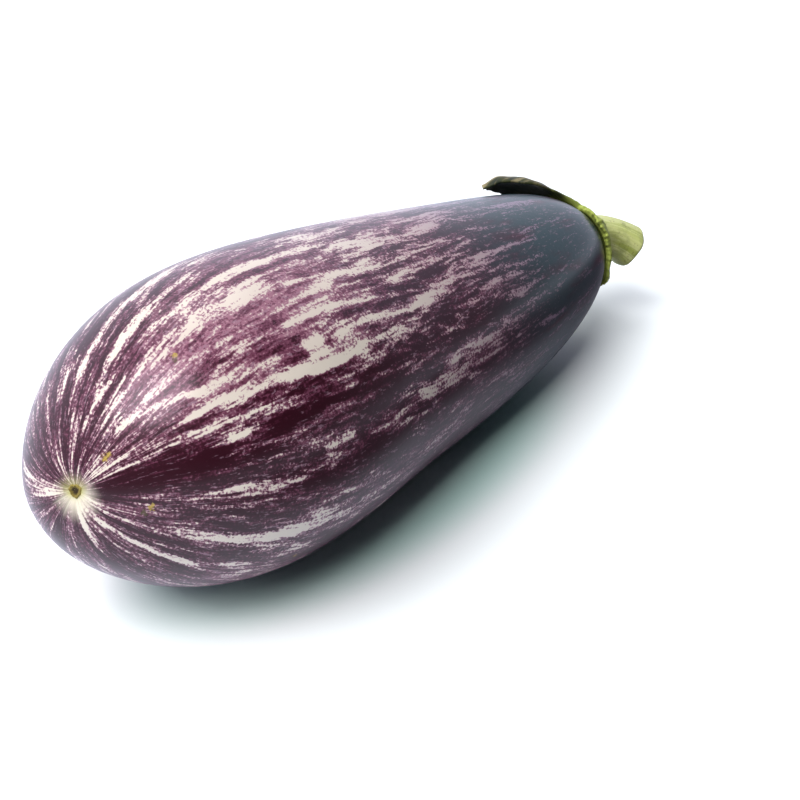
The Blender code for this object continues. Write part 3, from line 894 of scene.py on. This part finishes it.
def calyxMaterial():
    look = calyx
    material, tree, shader = newMaterial("calyx_leaf", look["specular"])
    place = objectPlace(tree)
    leafPlace = readAttribute(tree, "leafPlace", "Vector")
    stripe = readAttribute(tree, "ribStripe", "Fac")
    reach = partsOf(tree, leafPlace)[2]
    fibre = grain(tree, leafPlace, *look["fibres"])
    patch = grain(tree, place, *look["patches"])
    pores = grain(tree, place, *look["pores"])
    colour = mixed(tree, fade(tree, patch, *look["patchFades"]), look["leafDarkAndShade"], look["leaf"])
    stripeColour = mixed(tree, fade(tree, reach, *look["stripeDries"]), look["fresh"], look["dry"])
    colour = mixed(tree, fade(tree, fibre, *look["fibreFades"]), colour, stripeColour)
    colour = mixed(tree, calc(tree, "MULTIPLY", stripe, look["stripeStrength"]), colour, stripeColour)
    colour = mixed(tree, fade(tree, patch, *look["bruiseFades"]), colour, look["bruise"])
    ragged = calc(tree, "MULTIPLY_ADD", patch, look["dryRaggedness"], stripe)
    ragged = calc(tree, "MULTIPLY_ADD", fibre, look["dryRaggedness"], ragged)
    dryShare = fade(tree, ragged, *look["dryFades"])
    for name in ("dryFrom", "dryEnds"):
        dryShare = calc(tree, "MULTIPLY", dryShare, fade(tree, reach, *look[name]))
    colour = mixed(tree, dryShare, colour, look["dry"])
    nearStem = calc(tree, "MULTIPLY_ADD", patch, look["freshRaggedness"], reach)
    colour = mixed(tree, fade(tree, nearStem, *look["freshEnds"]), colour, look["fresh"])
    # painted shade: the underside darkened towards the lobes' ends, where they lift off the skin
    below = calc(tree, "SUBTRACT", 1.0, readAttribute(tree, "onTop", "Fac"))
    below = calc(tree, "MULTIPLY", below, fade(tree, reach, *look["underPaintedShade"]))
    colour = mixed(tree, below, colour, look["leafDarkAndShade"])
    rough = calc(tree, "MULTIPLY_ADD", patch, look["patchRoughness"], look["roughness"])
    finishMaterial(tree, shader, colour, rough)
    bump(tree, shader, calc(tree, "MULTIPLY_ADD", pores, look["poreShare"], fibre), look["reliefDepth"])
    return material


calyxPiece = makeCalyx()
calyxPiece.data.materials.append(calyxMaterial())
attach(calyxPiece, "root")
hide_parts("calyx")
print("calyx:", len(calyxPiece.data.polygons), "faces")


# Stem: a ridged stub that flares at both ends, droops a little and is cut across

stem = {
    "length": 0.0160,
    "droop": 0.0072,
    "sway": -0.0060,
    "baseRadius": 0.0075,
    "waistRadius": 0.0064,
    "cutRadius": 0.0074,
    "clubPower": 2.5,
    "ridges": 5,
    "ridgeHeight": 0.035,        # shares of the radius, here and for the fibres
    "ridgesFrom": (0.0, 0.4),
    "fibreHeight": 0.006,
    "fibreRipple": (21, 6.0, 6.0, 1.3),
    "fibresFrom": (0.0, 0.15),
    "gap": 0.0003,
    "cutBevel": 0.0008,
    "bevelSteps": 8,
    "dishDepth": 0.00035,
    "pithHeight": 0.00030,
    "pithWidth": 0.3,            # shares of the cut face, here and below
    "pithFrom": (0.0, 0.1),
    "sawHeight": 0.00009,
    "sawRipple": (8, 3200.0),
    "sawFrom": (0.0, 0.15),
    "faceMiddle": 0.00005,       # how far the last point lies under the cut
    "sides": 180,
    "rings": 110,
    "faceRings": 34,
    "patternRadius": 0.0065,
    "faceFades": (0.2, 1.0),
    "green": (0.39, 0.445, 0.092),
    "pale": (0.60, 0.63, 0.25),
    "olive": (0.165, 0.20, 0.048),
    "brown": (0.155, 0.095, 0.04),
    "pith": (0.52, 0.47, 0.28),
    "wood": (0.34, 0.30, 0.14),
    "fibres": (0.0010, 14.0, 3.0, 0.6),
    "patches": (0.004, 1.0, 3.0, 0.55),
    "pores": (0.0006, 1.0, 2.0, 0.6),
    "woodGrain": (0.0009, 1.0, 3.0, 0.6),
    "woodRaggedness": 0.3,
    "paleFades": (0.36, 0.62),
    "oliveFades": (0.52, 0.7, 0.0, 0.45),
    "ridgePaleness": 0.35,
    "poreFades": (0.62, 0.7, 0.0, 0.6),
    "woodFades": (0.42, 0.62),
    "rimFades": (0.98, 1.12),
    "roughness": 0.45,
    "faceRoughness": 0.25,
    "specular": 0.4,
    "poreShare": 0.4,
    "reliefDepth": 0.00015,
}


def stemPath(t):
    # centre = start + length t along the axis + t^2 (sway, droop), and its direction
    start = stemPole + (collarTop() + stem["gap"]) * stemAxis
    bend = np.array([0.0, stem["sway"], -stem["droop"]])
    t = np.asarray(t, float)[..., None]
    centre = start + stem["length"] * t * stemAxis + t * t * bend
    direction = stem["length"] * stemAxis + 2.0 * t * bend
    return centre, unit(direction)


def makeStem():
    # side rings of radius waist + flare (1 - t)^4 + club t^power, ridged by a cosine, with fine
    # fibres; then the rounded rim and the cut face, a shallow dish with a raised pith
    around = math.tau * np.arange(stem["sides"])[None, :] / stem["sides"]
    last = 1.0 - stem["cutBevel"] / stem["length"]
    t = np.linspace(0.0, last, stem["rings"])[:, None]
    flare = (stem["baseRadius"] - stem["waistRadius"]) * (1.0 - t) ** 4
    club = (stem["cutRadius"] - stem["waistRadius"]) * t ** stem["clubPower"]
    ridge = stem["ridgeHeight"] * smooth(*stem["ridgesFrom"], t) * np.cos(stem["ridges"] * around)
    fibres = stem["fibreHeight"] * ripple(around, t, *stem["fibreRipple"]) * smooth(*stem["fibresFrom"], t)
    radius = (stem["waistRadius"] + flare + club) * (1.0 + ridge + fibres)
    angle = np.linspace(0.0, math.pi / 2.0, stem["bevelSteps"] + 1)[1:, None]
    rimRadius = radius[-1:] - stem["cutBevel"] * (1.0 - np.cos(angle))
    rimT = last + (1.0 - last) * np.sin(angle)
    share = np.linspace(1.0, 0.0, stem["faceRings"] + 1)[1:-1, None]
    faceRadius = rimRadius[-1:] * share
    pith = stem["pithHeight"] * bell(share, stem["pithWidth"]) * smooth(*stem["pithFrom"], 1.0 - share)
    dish = stem["dishDepth"] * (1.0 - share**2) - pith
    sawn = ripple(faceRadius * np.cos(around), faceRadius * np.sin(around), *stem["sawRipple"])
    sawn = stem["sawHeight"] * sawn * smooth(*stem["sawFrom"], 1.0 - share)
    faceT = 1.0 - (dish + sawn) / stem["length"]
    allRadius = np.concatenate([radius, rimRadius, faceRadius])
    allT = np.concatenate([np.broadcast_to(t, radius.shape), np.broadcast_to(rimT, rimRadius.shape), faceT])
    centre, direction = stemPath(allT)
    side = unit(np.cross(zAxis, direction))
    up = np.cross(direction, side)
    turn = np.broadcast_to(around, allRadius.shape)
    outward = np.cos(turn)[..., None] * side + np.sin(turn)[..., None] * up
    points = centre + allRadius[..., None] * outward
    first, last = (stemPath(end)[0] for end in (0.0, 1.0 - stem["faceMiddle"] / stem["length"]))
    piece = closedSurface("stem_stub", points, first, last)
    wide = stem["patternRadius"]
    fibrePlace = np.stack([wide * np.cos(turn), wide * np.sin(turn), allT * stem["length"]], axis=-1)
    endPlace = np.array([0.0, 0.0, stem["length"]])
    keepValues(piece, "fibrePlace", withPoles(fibrePlace, np.zeros(3), endPlace))
    # how far a point is on the cut face, how far out on that face, and how far up a ridge
    overRim = np.broadcast_to(smooth(*stem["faceFades"], angle / math.pi * 2.0), rimRadius.shape)
    onFace = np.concatenate([np.zeros(radius.shape), overRim, np.ones(faceRadius.shape)])
    faceShare = np.broadcast_to(share, faceRadius.shape)
    outFromPith = np.concatenate([np.ones(radius.shape), np.ones(rimRadius.shape), faceShare])
    ridgeShare = 0.5 + 0.5 * np.cos(stem["ridges"] * turn)
    tone = np.stack([onFace, outFromPith, ridgeShare], axis=-1)
    keepValues(piece, "stemTone", withPoles(tone, np.array([0.0, 1.0, 0.0]), np.array([1.0, 0.0, 0.0])))
    return piece


def stemMaterial():
    look = stem
    material, tree, shader = newMaterial("stem_stub", look["specular"])
    place = objectPlace(tree)
    onFace, outFromPith, ridge = partsOf(tree, readAttribute(tree, "stemTone", "Vector"))
    fibre = grain(tree, readAttribute(tree, "fibrePlace", "Vector"), *look["fibres"])
    patch = grain(tree, place, *look["patches"])
    pores = grain(tree, place, *look["pores"])
    colour = mixed(tree, fade(tree, fibre, *look["paleFades"]), look["green"], look["pale"])
    colour = mixed(tree, fade(tree, patch, *look["oliveFades"]), colour, look["olive"])
    colour = mixed(tree, calc(tree, "MULTIPLY", ridge, look["ridgePaleness"]), colour, look["pale"])
    colour = mixed(tree, fade(tree, pores, *look["poreFades"]), colour, look["brown"])
    woodGrain = grain(tree, place, *look["woodGrain"])
    ringed = calc(tree, "MULTIPLY_ADD", woodGrain, look["woodRaggedness"], outFromPith)
    face = mixed(tree, fade(tree, ringed, *look["woodFades"]), look["pith"], look["wood"])
    face = mixed(tree, fade(tree, ringed, *look["rimFades"]), face, look["brown"])
    colour = mixed(tree, onFace, colour, face)
    rough = calc(tree, "MULTIPLY_ADD", onFace, look["faceRoughness"], look["roughness"])
    finishMaterial(tree, shader, colour, rough)
    bump(tree, shader, calc(tree, "MULTIPLY_ADD", pores, look["poreShare"], fibre), look["reliefDepth"])
    return material


stemPiece = makeStem()
stemPiece.data.materials.append(stemMaterial())
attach(stemPiece, "root")
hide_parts("stem")
print("stem:", len(stemPiece.data.polygons), "faces")


# Floor, light and camera

studio = {
    "floorSize": 6.0,
    "floorColour": (0.89, 0.93, 0.93),
    "floorReflected": (0.84, 0.88, 1.0),   # the floor in reflections and bounced light
    "floorPaintedShade": (0.07, 0.05, 0.07),       # and a stretch of it on the front right painted dark as shade, which is in those only
    "paintedShadeAzimuth": math.radians(32.0),
    "paintedShadeFrom": (0.005, 0.105),            # metres towards that side
    "paintedShadeTo": (0.26, 0.42, 1.0, 0.0),      # metres from the middle
    "floorPaintedContactShade": (0.60, 0.85, 0.78),    # painted shade, darker and greener, close under the fruit
    "contactPlace": (-0.018, -0.004, 0.0),  # middle and half sizes of that ellipse
    "contactHalf": (0.078, 0.034, 1.0),
    "contactFades": (0.75, 1.25),
    "floorRoughness": 0.9,
    "glowFrom": (0.5, 1.5),                # metres from the middle, where the floor turns white
    "worldStrength": 1.3,
    "worldDiffuseStrength": 0.65,          # on matt surfaces the key light does the rest
    "backdrop": (1.0, 1.0, 1.0),
    "backColour": (1.04, 1.05, 1.28),
    "backEnds": (-0.95, 0.05),
    "topColour": (0.45, 0.47, 0.62),
    "topEnds": (0.03, 0.40),
    "frontColour": (0.02, 0.02, 0.025),
    "frontAzimuth": math.radians(-8.0),
    # lights: azimuth and elevation in degrees, distance, width, height and power
    "key": (-89.0, 58.0, 4.0, 3.4, 2.6, 255.0),
    "glow": (-79.0, 56.0, 1.0, 0.60, 0.46, 6.8),
    "glowColour": (0.93, 0.93, 1.0),
    "top": (150.0, 62.0, 1.1, 0.7, 0.5, 2.2),
    "cameraAzimuth": math.radians(-47.08),
    "cameraElevation": math.radians(32.97),
    "cameraRoll": math.radians(-1.17),
    "cameraDistance": 0.4377,
    "fieldOfView": math.radians(30.0),
    "sensorWidth": 36.0,
    "clip": (0.01, 20.0),
    "aimFromMiddle": (0.0074, -0.0099),
    "aimHeight": 0.0229,
}


def direction(azimuth, elevation):
    # azimuth 0 is on the -Y side and 90 on the +X side
    flat = math.cos(elevation)
    return np.array([math.sin(azimuth) * flat, -math.cos(azimuth) * flat, math.sin(elevation)])


def stand(thing, right, up, back, place):
    # turns an object to three axes, at a place
    turned = Matrix([[*row] for row in np.stack([right, up, back], axis=1)]).to_4x4()
    turned.translation = place.tolist()
    thing.matrix_world = turned


def softLight(name, azimuth, elevation, distance, width, height, power):
    light = bpy.data.lights.new(name, "AREA")
    light.shape = "RECTANGLE"
    light.size, light.size_y = width, height
    light.energy = power
    lamp = addObject(name, light)
    back = direction(math.radians(azimuth), math.radians(elevation))
    right = unit(np.cross(zAxis, back))
    stand(lamp, right, np.cross(back, right), back, back * distance)
    return lamp


def makeFloor():
    half = studio["floorSize"] / 2.0
    corners = [(-half, -half, 0.0), (half, -half, 0.0), (half, half, 0.0), (-half, half, 0.0)]
    mesh = bpy.data.meshes.new("floor")
    mesh.from_pydata(corners, [], [(0, 1, 2, 3)])
    floor = addObject("floor", mesh)
    material, tree, shader = newMaterial("floor", 0.0)
    seen = tree.nodes.new("ShaderNodeLightPath").outputs["Is Camera Ray"]
    place = objectPlace(tree)
    # painted shade: a stretch of floor on the front right, dark in reflections and bounced light only
    paintedShadeSide = tuple(direction(studio["paintedShadeAzimuth"], 0.0))
    towardsPaintedShade = vectorCalc(tree, "DOT_PRODUCT", place, paintedShadeSide, 1)
    fromMiddle = vectorCalc(tree, "DISTANCE", place, origin, 1)
    dark = fade(tree, fromMiddle, *studio["paintedShadeTo"])
    dark = calc(tree, "MULTIPLY", dark, fade(tree, towardsPaintedShade, *studio["paintedShadeFrom"]))
    reflected = mixed(tree, dark, studio["floorReflected"], studio["floorPaintedShade"])
    # painted shade seen by the camera: the floor darker and greener close under the fruit
    fromContact = vectorCalc(tree, "SUBTRACT", place, studio["contactPlace"])
    fromContact = vectorCalc(tree, "DIVIDE", fromContact, studio["contactHalf"])
    share = vectorCalc(tree, "DISTANCE", fromContact, origin, 1)
    paintedContactShade = fade(tree, share, *studio["contactFades"])
    direct = mixed(tree, paintedContactShade, studio["floorPaintedContactShade"], studio["floorColour"])
    finishMaterial(tree, shader, mixed(tree, seen, reflected, direct), studio["floorRoughness"])
    # far off, the floor glows as white as the backdrop, so that no edge shows
    glow = calc(tree, "MULTIPLY", seen, fade(tree, fromMiddle, *studio["glowFrom"]))
    wire(tree, shader.inputs["Emission Color"], studio["backdrop"])
    wire(tree, shader.inputs["Emission Strength"], glow)
    mesh.materials.append(material)


def makeWorld():
    # bright behind, softer above and dark in front, as in an open-fronted light tent
    world = bpy.data.worlds.new("light_tent")
    world.use_nodes = True
    tree = world.node_tree
    sky = tree.nodes["Background"]
    ray = tree.nodes.new("ShaderNodeTexCoord").outputs["Generated"]
    facing = vectorCalc(tree, "DOT_PRODUCT", ray, tuple(direction(studio["frontAzimuth"], 0.0)), 1)
    colour = mixed(tree, fade(tree, facing, *studio["backEnds"]), studio["backColour"], studio["topColour"])
    colour = mixed(tree, fade(tree, facing, *studio["topEnds"]), colour, studio["frontColour"])
    path = tree.nodes.new("ShaderNodeLightPath").outputs
    wire(tree, sky.inputs["Color"], mixed(tree, path["Is Camera Ray"], colour, studio["backdrop"]))
    less = studio["worldDiffuseStrength"] - studio["worldStrength"]
    strength = calc(tree, "MULTIPLY_ADD", path["Is Diffuse Ray"], less, studio["worldStrength"])
    wire(tree, sky.inputs["Strength"], strength)
    scene.world = world


def makeCamera():
    camera = bpy.data.cameras.new("camera")
    camera.sensor_width = studio["sensorWidth"]
    camera.lens = camera.sensor_width / 2.0 / math.tan(studio["fieldOfView"] / 2.0)
    camera.clip_start, camera.clip_end = studio["clip"]
    eye = addObject("camera", camera)
    back = direction(studio["cameraAzimuth"], studio["cameraElevation"])
    right = np.array([math.cos(studio["cameraAzimuth"]), math.sin(studio["cameraAzimuth"]), 0.0])
    up = np.cross(back, right)
    c, s = math.cos(studio["cameraRoll"]), math.sin(studio["cameraRoll"])
    aim = np.array([*(middle[:2] + studio["aimFromMiddle"]), studio["aimHeight"]])
    place = aim + back * studio["cameraDistance"]
    stand(eye, right * c + up * s, up * c - right * s, back, place)
    scene.camera = eye


makeFloor()
makeWorld()
keyLight = softLight("key_soft", *studio["key"])
keyLight.visible_glossy = False
glowLight = softLight("glow_soft", *studio["glow"])
glowLight.data.color = studio["glowColour"]
glowLight.visible_diffuse = False
softLight("top_soft", *studio["top"])
makeCamera()
scene.view_settings.view_transform = "Standard"
print("floor, light and camera set")
